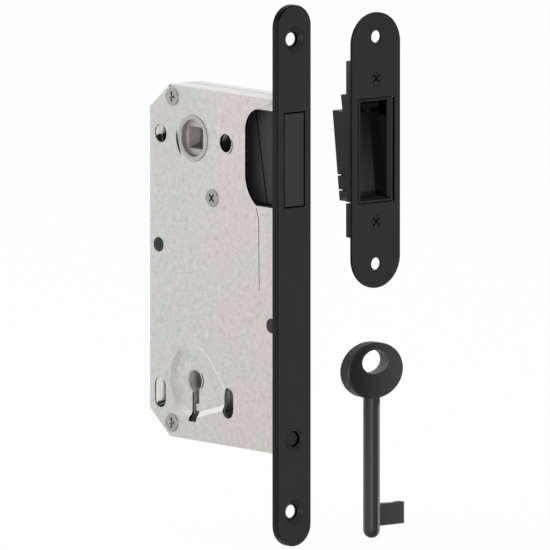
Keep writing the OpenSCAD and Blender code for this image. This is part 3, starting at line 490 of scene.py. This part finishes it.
def cross_head_screw():
    """Geometry Nodes: a turned, cross-recessed screw on every point, head up along the point's seat."""
    tree = bpy.data.node_groups.new("cross_head_screw", "GeometryNodeTree")
    tree.interface.new_socket("Geometry", in_out="OUTPUT", socket_type="NodeSocketGeometry")
    tree.interface.new_socket("Places", in_out="INPUT", socket_type="NodeSocketGeometry")
    for size in ("Head Diameter", "Head Height", "Crown Height", "Crown Inset", "Shank Diameter",
                 "Shank Length", "Recess Length", "Recess Width", "Recess Depth"):
        tree.interface.new_socket(size, in_out="INPUT", socket_type="NodeSocketFloat")
    tree.interface.new_socket("Finish", in_out="INPUT", socket_type="NodeSocketMaterial")
    given = {socket.name: Value(tree, socket) for socket in add_node(tree, "NodeGroupInput").outputs}
    overlap, facets, wing_taper = 0.1 * mm, 64, 0.7

    def raised(mesh, height, turn=0.0, stretch=None):
        up = add_node(tree, "ShaderNodeCombineXYZ", inputs={"Z": height}).outputs[0]
        moved = add_node(tree, "GeometryNodeTransform", inputs={
            "Geometry": mesh, "Translation": up, "Rotation": (0, 0, math.radians(turn))})
        if stretch is None:
            return moved.outputs[0]
        scale = add_node(tree, "ShaderNodeCombineXYZ", inputs={
            "X": stretch[0], "Y": stretch[1], "Z": 1.0}).outputs[0]
        return add_node(tree, "GeometryNodeTransform", inputs={
            "Geometry": moved.outputs[0], "Scale": scale}).outputs[0]

    radius, height, crown = given["Head Diameter"] * 0.5, given["Head Height"], given["Crown Height"]
    drum = add_node(tree, "GeometryNodeMeshCylinder", inputs={
        "Vertices": facets, "Radius": radius, "Depth": height - crown}).outputs["Mesh"]
    cap = add_node(tree, "GeometryNodeMeshCone", inputs={
        "Vertices": facets, "Radius Bottom": radius, "Radius Top": radius - given["Crown Inset"],
        "Depth": crown}).outputs["Mesh"]
    shank = add_node(tree, "GeometryNodeMeshCylinder", inputs={
        "Vertices": facets, "Radius": given["Shank Diameter"] * 0.5,
        "Depth": given["Shank Length"] + overlap}).outputs["Mesh"]
    blank = add_node(tree, "GeometryNodeMeshBoolean", {"operation": "UNION"}, {"Mesh 2": [
        raised(drum, (height + crown) * -0.5), raised(cap, -crown),
        raised(shank, (given["Shank Length"] - overlap) * -0.5 - height)]}).outputs["Mesh"]
    # A wing of the recess narrows downwards, as the punch that makes it does
    wing = add_node(tree, "GeometryNodeMeshCone", inputs={
        "Vertices": 4, "Radius Bottom": math.sqrt(0.5) * wing_taper, "Radius Top": math.sqrt(0.5),
        "Depth": given["Recess Depth"] + overlap}).outputs["Mesh"]
    long, wide, deep = given["Recess Length"], given["Recess Width"], -given["Recess Depth"]
    wings = [raised(wing, deep, 45, (long, wide)), raised(wing, deep, 45, (wide, long))]
    screw = add_node(tree, "GeometryNodeMeshBoolean", {"operation": "DIFFERENCE"}, {
        "Mesh 1": blank, "Mesh 2": wings})
    seat = add_node(tree, "GeometryNodeInputNamedAttribute", {"data_type": "FLOAT_VECTOR"},
                    {"Name": "seat"})
    placed = add_node(tree, "GeometryNodeInstanceOnPoints", inputs={
        "Points": given["Places"], "Instance": screw.outputs["Mesh"], "Rotation": seat.outputs[0]})
    realized = add_node(tree, "GeometryNodeRealizeInstances", inputs={"Geometry": placed.outputs[0]})
    plated = add_node(tree, "GeometryNodeSetMaterial", inputs={
        "Geometry": realized.outputs[0], "Material": given["Finish"]})
    add_node(tree, "NodeGroupOutput", inputs={"Geometry": plated.outputs[0]})
    return tree


def fastened(tree, node, places, finish, slot, **sizes):
    """Screws from a tree in place of a CAD node: places hold a point, an outward axis and a turn."""
    points = bpy.data.meshes.new(node + "_places")
    points.from_pydata([Vector(place) * mm for place, outward, turn in places], [], [])
    seats = points.attributes.new("seat", "FLOAT_VECTOR", "POINT")
    for seat, (place, outward, turn) in zip(seats.data, places):
        upright = outward.to_track_quat("Z", "Y")
        seat.vector = (upright @ Quaternion((0, 0, 1), math.radians(turn))).to_euler()
    piece = bpy.data.objects.new(node + "_turned", points)
    bpy.context.scene.collection.objects.link(piece)
    grown = piece.modifiers.new("grown", "NODES")
    grown.node_group = tree
    for socket in tree.interface.items_tree:
        size = socket.name.replace(" ", "_").lower()
        if socket.name == "Finish":
            grown[socket.identifier] = finish.material
        elif size in sizes:
            grown[socket.identifier] = sizes[size] * mm
    settled = piece.evaluated_get(bpy.context.evaluated_depsgraph_get())
    plain = bpy.data.meshes.new_from_object(settled)
    piece.modifiers.clear()
    piece.data = plain
    plain.name = piece.name
    plain.shade_smooth()
    plain.set_sharp_from_angle(angle=math.radians(25))
    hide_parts(node)
    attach(piece, nodes[node]["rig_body"])


screw_face, screw_turns = measured("case_screws")[0][1], (0, 45, 0)
screw_steel = Finish("screw_zinc")
x, y, z = screw_steel.x, screw_steel.y, screw_steel.z
turned = screw_steel.clouds(0.4, detail=3)
# Painted light and shade: the recess is painted dark where its wings stand upright and paler where
# they lie flat, and a painted shadow lies at the rear of each head
wings = reduce(Value.most, [screw_steel.off_axis(place).step(2.6, 2.4) for place in screw_places])
head_shadows = reduce(Value.most, [(x - place[0]).step(-2.85, -3) * abs(z - place[1]).step(1.2, 0.9)
                            for place in screw_places])
sunk = y.step(screw_face + 0.03, screw_face + 0.15) * wings
head = screw_steel.blend(turned, colour(128, 126, 123), colour(148, 146, 142))
rear_x, rear_z = (rear_top[0] + rear_bottom[0]) / 2, (rear_top[1] - rear_bottom[1]) / 2
upright = (abs(abs(z) - rear_z) - abs(x - rear_x)).step(0.1, 0.5) * (abs(z).step(40, 45) * 0.4 + 0.6)
recess_light_and_shade = screw_steel.blend(upright, colour(150, 147, 144), colour(20, 19, 18))
screw_colour = screw_steel.blend(head_shadows, screw_steel.blend(sunk, head, recess_light_and_shade), colour(6))
screw_steel.feed(Base_Color=screw_colour, Metallic=(1 - sunk * 0.3) * 0.85,
                 Roughness=0.34 + turned * 0.15 + sunk * 0.2)
screw_steel.relief(turned, 0.006)
screw_tree = cross_head_screw()
outward = Vector((0, -1, 0))
case_seats = [((place[0], screw_face, place[1]), outward, turn)
              for place, turn in zip(screw_places, screw_turns)]
fastened(screw_tree, "case_screws", case_seats, screw_steel, "bright_steel", head_diameter=6.66,
         head_height=1.2, crown_height=0.1, crown_inset=0.1, shank_diameter=2.9, shank_length=13.8,
         recess_length=3.97, recess_width=0.95, recess_depth=1.0)
# The studs are blackened, and the forend's block is plated as the pillars are
stud_black = Finish("blackened_stud", Specular_IOR_Level=0.15)
speck = stud_black.clouds(0.6, detail=4)
stud_black.feed(Base_Color=stud_black.blend(speck, colour(24), colour(34)), Roughness=0.45 + speck * 0.2)
stud_black.relief(speck, 0.01)
dress("locating_studs", stud_black, "dark_stud", width=0.15)
dress("forend_block", bright_steel, "bright_steel")

# Forend: a 3 mm steel bar with round ends, let into the door's edge, stove-enamelled satin black over
# a fine tooth. Its sides, the walls of its holes and the sides of its round ends are painted darker than
# its face, a painted shade.
round_from, hole_half_width = 92, 7
fixing_z, sink_r = 87.25, 4.55
black_steel = Finish("satin_black", Specular_IOR_Level=0.2)
x, y, z = black_steel.x, black_steel.y, black_steel.z
tooth = black_steel.clouds(0.22, detail=3)
cast = black_steel.clouds(9, detail=3)
side_shade = black_steel.facing("Y").step(0.35, 0.7)
upright = black_steel.facing("Z")
hole_wall = (hole_half_width - abs(y)).step(0, 0.5) * x.step(-0.05, -0.2)
arch = upright.step(0.15, 0.4) * upright.step(0.95, 0.8) * z.step(round_from - 0.5, round_from + 0.5)
deep_wall = x.step(-1.8, -2.2).most(x.step(-1.6, -1.85) * y.step(0.2, 1))
unlit = (hole_wall * deep_wall).most(arch * x.step(-0.02, -0.1))
# Each fixing hole is countersunk, and the lip of its sink is painted as a thin dark ring, a painted
# shade
ring = abs(y.hypot(abs(z) - fixing_z) - sink_r).step(0.3, 0.1)
shaded = (side_shade * (1 - hole_wall * 0.6)).most(unlit).most(ring * 0.4)
enamel = black_steel.blend(cast * 0.5 + tooth * 0.5, colour(22, 22, 23), colour(31, 31, 31))
enamel = black_steel.blend(unlit, black_steel.blend(shaded, enamel, colour(8)), colour(1))
black_steel.feed(Base_Color=enamel, Metallic=(shaded * 0.7).most(unlit),
                 Roughness=0.38 + tooth * 0.16 + shaded * 0.15)
black_steel.relief(tooth, 0.006)
dress("forend", black_steel, "black_steel", width=0.06)


def lathed(node, finish, centre, profile, facets=72):
    """A turned piece in place of a CAD node: profile holds x and radius pairs round an axis along x,
    with flat ends, in millimetres."""
    skin = bmesh.new()
    rings = []
    for along, radius in profile:
        rings.append([])
        for turn in range(facets):
            angle = math.tau * turn / facets
            y, z = centre[0] + math.cos(angle) * radius, centre[1] + math.sin(angle) * radius
            rings[-1].append(skin.verts.new(Vector((along, y, z)) * mm))
    for first, second in zip(rings, rings[1:]):
        for turn in range(facets):
            skin.faces.new((first[turn - 1], first[turn], second[turn], second[turn - 1]))
    skin.faces.new(rings[0])
    skin.faces.new(rings[-1])
    bmesh.ops.recalc_face_normals(skin, faces=skin.faces)
    mesh = bpy.data.meshes.new(node + "_lathed")
    skin.to_mesh(mesh)
    skin.free()
    mesh.shade_smooth()
    mesh.set_sharp_from_angle(angle=math.radians(25))
    mesh.materials.append(finish.material)
    piece = bpy.data.objects.new(mesh.name, mesh)
    bpy.context.scene.collection.objects.link(piece)
    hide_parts(node)
    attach(piece, nodes[node]["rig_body"])


# The screw that holds the forend to the block is sunk below its face, with a wide round socket
keeper_low, keeper_high = measured("forend_screw")
keeper_z, face_x = (keeper_low[2] + keeper_high[2]) / 2, keeper_high[0]
socket_r, socket_floor, shank_r, head_r, neck_x = 2.95, -1.3, 2.3, 3.75, -2.05
sunk_black = Finish("sunk_screw", Specular_IOR_Level=0.2)
pitted = sunk_black.clouds(0.7, detail=4)
# Painted light and shade: below its face the socket is painted black, except an off-centre lit patch of
# its floor that shows pitted
lit_centre_y, lit_r = -0.15, 2.4
off_centre = (sunk_black.y - lit_centre_y).hypot(sunk_black.z - keeper_z)
below_face = sunk_black.x.step(face_x - 0.1, face_x - 0.25)
lit_floor = off_centre.step(lit_r + 0.1, lit_r - 0.1) * below_face
pits = sunk_black.blend(pitted.step(0.35, 0.7), colour(17, 15, 15), colour(38, 35, 34))
sunk_colour = sunk_black.blend(below_face, colour(25), colour(2))
sunk_black.feed(Base_Color=sunk_black.blend(lit_floor, sunk_colour, pits),
                Metallic=below_face * (1 - lit_floor), Roughness=0.5)
sunk_black.relief(pitted, 0.02)
lathed("forend_screw", sunk_black, (0, keeper_z),
       ((socket_floor, socket_r - 0.15), (face_x - 0.05, socket_r), (face_x, socket_r + 0.05),
        (face_x, head_r), (face_x - 0.05, head_r), (neck_x, shank_r), (keeper_low[0], shank_r)))

# Latch: a glass-filled nylon block in two halves on a tail bar, with a bar magnet in its nose, which
# slides in a nylon guide and is held back by a light coil spring.
latch_low, latch_high = measured("latch_head")
latch_middle, seam_x, seam_lean = (latch_low[2] + latch_high[2]) / 2, -13.75, 0.197
black_plastic = Finish("black_nylon", Specular_IOR_Level=0.25)
flow = black_plastic.clouds(1.6, stretch=(1, 1, 3), detail=4)
spark = black_plastic.clouds(0.18, detail=2)
off_seam = black_plastic.x - seam_x + (black_plastic.z - latch_middle) * seam_lean
seam = abs(off_seam).step(0.42, 0.2)
shell = black_plastic.blend(flow, colour(27, 27, 28), colour(40, 40, 41))
# Painted shade: the sides are painted darker than the front
cheek = black_plastic.facing("Y").step(0.6, 0.9)
shell = black_plastic.blend(cheek * 0.5, shell, colour(24))
black_plastic.feed(Base_Color=black_plastic.blend(seam, shell, colour(1)),
                   Metallic=seam.most(cheek * 0.15), Roughness=0.42 + flow * 0.14)
black_plastic.relief(spark, 0.008)
for moulding in ("latch_guide", "latch_head", "latch_carrier"):
    dress(moulding, black_plastic, "black_plastic", width=0.15)
nickel = Finish("nickel", Metallic=1.0)
haze = nickel.clouds(1.2, detail=4)
nickel.feed(Base_Color=nickel.blend(haze, colour(150, 151, 154), colour(186, 186, 188)),
            Roughness=0.18 + haze * 0.2)
dress("latch_magnet", nickel, "magnet")
dress("latch_tail", bright_steel, "bright_steel")
dress("latch_rivets", stud_black, "dark_stud")
spring_wire = Finish("spring_wire", Metallic=1.0)
drawn = spring_wire.clouds(0.2, detail=3)
spring_wire.feed(Base_Color=spring_wire.blend(drawn, colour(105), colour(140)),
                 Roughness=0.25 + drawn * 0.15)


def sprung(node, cuts=()):
    """A spring in place of its CAD node, cut across at heights in millimetres where it has to bend."""
    skin = merged(node)
    for height in cuts:
        bmesh.ops.bisect_plane(skin, geom=[*skin.verts, *skin.edges, *skin.faces],
                               plane_co=(0, 0, height * mm), plane_no=(0, 0, 1))
    mesh = bpy.data.meshes.new(node + "_sprung")
    skin.to_mesh(mesh)
    skin.free()
    mesh.shade_smooth()
    mesh.set_sharp_from_angle(angle=math.radians(50))
    mesh.materials.append(spring_wire.material)
    piece = bpy.data.objects.new(mesh.name, mesh)
    bpy.context.scene.collection.objects.link(piece)
    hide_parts(node)
    return piece


def pressed(node, joint):
    """A coil spring in place of its CAD node, riding with its body on a mesh of its own. It reads the
    joint's travel but keeps its length.
    """
    piece = sprung(node)
    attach(piece, nodes[node]["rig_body"])
    joints = frame["record"]["behaviour"]["joints"]
    travel = next(max(moving["range_m"]) for moving in joints if moving["name"] == joint)
    start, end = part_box(node)
    keep = 1 - travel / (end[0] - start[0])
    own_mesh(piece)


pressed("latch_spring", "latch_slide")

# Follower: a die-cast zinc boss with the square for the handle's spindle and a pinned arm, which
# draws the retractor back against its spring.
square_half, retractor_seat_x = 4, -74.3
zinc = Finish("cast_zinc")
skin = zinc.clouds(0.9, detail=4, roughness=0.65)
right_of, above = zinc.x - spindle[0], zinc.z - spindle[1]
bore = abs(right_of).most(abs(above)).step(square_half + 0.2, square_half + 0.1)
step_wall = zinc.off_axis(spindle).step(6.3, 6.75) * abs(zinc.y).step(7.5, 7.2)
# Painted shade: the rear part of the recess's stepped wall is painted darker
rear_wall = step_wall * (right_of + above * 0.4).step(2, -4) * 0.85
zinc_colour = zinc.blend(skin, colour(147, 142, 138), colour(162, 157, 153))
zinc_colour = zinc.blend(rear_wall, zinc_colour, colour(88, 84, 80))
zinc_colour = zinc.blend(bore, zinc_colour, colour(128, 123, 119))
zinc.feed(Base_Color=zinc_colour, Metallic=(1 - bore.most(step_wall)) * 0.7,
          Roughness=0.42 + skin * 0.16)
zinc.relief(skin, 0.012)


def past_collar(middle):
    """Whether an edge lies on the arm, beyond the round of the collar."""
    return math.hypot(middle.x - spindle[0], middle.z - spindle[1]) > collar_r - 0.2


dress("follower", zinc, "follower_zinc", width=0.2, thin=past_collar)
dress("follower_pin", bright_steel, "bright_steel")
dress("retractor", bright_steel, "bright_steel")
dress("retractor_studs", bright_steel, "bright_steel")
pressed("follower_spring", "retractor_slide")

# Key works: a stamped slide that the key pushes, the bar that it lifts to lock the latch, and a brass
# lever on its pivot with a leaf spring.
for part in ("key_slide", "lock_bar", "slide_studs", "bar_studs", "lever_pivot"):
    dress(part, bright_steel, "bright_steel")
brass = Finish("stamped_brass", Metallic=1.0)
tarnish = brass.clouds(3, detail=4)
brass.feed(Base_Color=brass.blend(tarnish, colour(150, 122, 70), colour(190, 160, 100)),
           Roughness=0.3 + tarnish * 0.2)
dress("tumbler_lever", brass, "lever_brass")
# The leaf's foot turns with the lever while its tip stays on the rear stud, so the real leaf bends in
# between; here it is only cut across there, and nothing bends it
leaf_foot, leaf_tip = -19, 4
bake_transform(sprung("lever_spring", range(leaf_foot, leaf_tip + 1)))

# Strike: a thin enamelled plate let into the frame, with a nylon tray behind its window that holds
# a magnet, and two small cross-head screws.
dress("strike_plate", black_steel, "black_steel", width=0.06)
plate_low, plate_high = measured("strike_plate")
strike_middle = (plate_low[1] + plate_high[1]) / 2
window_half, lip_inner, lip_outer = 7.6, 7.4, 7.8
tray_nylon = Finish("tray_nylon", Specular_IOR_Level=0.25)
x, z, right = tray_nylon.x, tray_nylon.z, tray_nylon.y - strike_middle
moulded = tray_nylon.clouds(1.4, stretch=(1, 1, 2.5), detail=4)
within = (window_half - abs(right)).step(-0.2, 0) * x.step(-3.1, -3.5)
# The tray's right lip catches the light, and its top shelf and what stands right of it lie in shade
right_of_window = right.step(lip_inner - 0.2, lip_inner)
lip = right_of_window * right.step(lip_outer + 0.2, lip_outer) * x.step(-3.2, -2.9)
shelf = x.step(-8.3, -8) * z.step(54.5, 56) * 0.95
dim = (z.step(54, 62) * 0.7).most(shelf) * within
dim = dim.most(right.step(7.6, 7.7) * x.step(-0.9, -0.7))
# Painted light and shade deep in the pocket: lighter towards the bottom and dark along its right wall
deep = tray_nylon.blend(z.step(60, 22), colour(16), colour(54))
deep = tray_nylon.blend(right_of_window, deep, colour(20))
grey = tray_nylon.blend(moulded, colour(15, 15, 16), colour(24, 24, 25))
grey = tray_nylon.blend(lip, grey, colour(50))
grey = tray_nylon.blend(within, grey, deep)
tray_nylon.feed(Base_Color=tray_nylon.blend(dim, grey, colour(4)), Metallic=dim.most(within * 0.3),
                Roughness=0.45 + moulded * 0.12)
tray_nylon.relief(moulded, 0.01)
dress("strike_tray", tray_nylon, "black_plastic", width=0.1)
dress("strike_magnet", nickel, "magnet")
tray_screws_low, tray_screws_high = measured("strike_screws")
tray_head, tray_screw_x = 4.8, tray_screws_high[0]
heights = (tray_screws_low[2] + tray_head / 2, tray_screws_high[2] - tray_head / 2)
outward, tray_turn = Vector((1, 0, 0)), 45
tray_seats = [((tray_screw_x, strike_middle, height), outward, tray_turn) for height in heights]
fastened(screw_tree, "strike_screws", tray_seats, black_steel, "black_steel", head_diameter=tray_head,
         head_height=0.95, crown_height=0.12, crown_inset=0.12, shank_diameter=1.9, shank_length=6.0,
         recess_length=4.1, recess_width=0.7, recess_depth=0.7)

# Key: die-cast with an oval bow and a round shank, and painted black. A painted sheen lightens it to the
# right and on its rims, and painted highlights lie on the shank's and bit's right sides and the eye's
# wall.
eye_y, eye_z, eye_half_width, eye_half_height = 38.5, -35, 6.35, 4.55
key_paint = Finish("key_paint", Specular_IOR_Level=0.25)
y, z = key_paint.y, key_paint.z
brushed = key_paint.clouds(0.5, stretch=(1, 1, 6), detail=3)
painted_sheen = ((y - strike_middle).step(-12, 12) * 0.8 + brushed * 0.2).most(key_paint.facing("Y") * 0.9)
eye = (eye_half_width - abs(y - eye_y)).step(0, 0.05) * (eye_half_height - abs(z - eye_z)).step(0, 0.05)
eye_wall = eye * key_paint.facing("X").step(0.6, 0.3) * (z.step(-34.5, -37.5) * 0.55 + 0.1)
lit_edge = (key_paint.normal("Y").step(0.05, 0.35) * z.step(-50, -52)).most(eye_wall)
painted = key_paint.blend(painted_sheen, colour(2), colour(50))
painted = key_paint.blend(lit_edge, painted, colour(125))
key_paint.feed(Base_Color=painted, Metallic=(1 - painted_sheen) * 0.5, Roughness=0.45 + brushed * 0.1)
key_paint.relief(brushed, 0.006)
dress("key", key_paint, "key_black", width=0.2)
